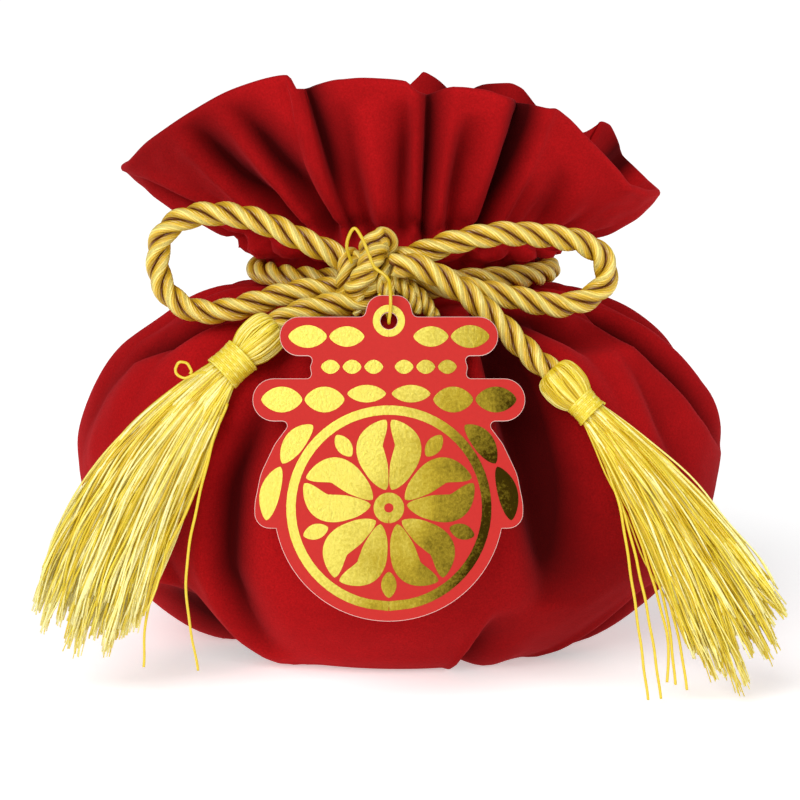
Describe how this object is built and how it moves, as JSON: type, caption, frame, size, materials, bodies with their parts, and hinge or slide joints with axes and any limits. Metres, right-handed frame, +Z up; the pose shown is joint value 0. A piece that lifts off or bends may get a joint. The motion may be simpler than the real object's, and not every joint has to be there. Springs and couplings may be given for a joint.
{
  "type": "velvet drawstring bag",
  "caption": "Round velvet gift pouch gathered at the neck by a twisted cord tied in a bow, with a ruffled open mouth, tassels on the cord ends and a hanging card ornament.",
  "frame": {"origin": "middle of the flattened base, on the surface that the bag stands on", "axes": "+Z up through the mouth; -Y is the front with the bow and the card; +X to the right seen from the front"},
  "size_m": [0.1318, 0.0981, 0.1093],
  "materials": {
    "velvet": "short pile velvet",
    "cord": "silky twisted thread",
    "fringe": "silky loose thread",
    "card": "matte coated card with gold foil",
    "thread": "thin thread"
  },
  "bodies": {
    "root": {"bag_wall": "velvet", "neck_cord": "cord", "bow_knot": "cord", "loop_left": "cord", "loop_right": "cord", "tail_left": "cord", "tail_right": "cord", "tassel_left": "fringe", "tassel_right": "fringe", "band_left": "fringe", "band_right": "fringe", "pendant_card": "card", "pendant_thread": "thread"}
  },
  "joints": []
}
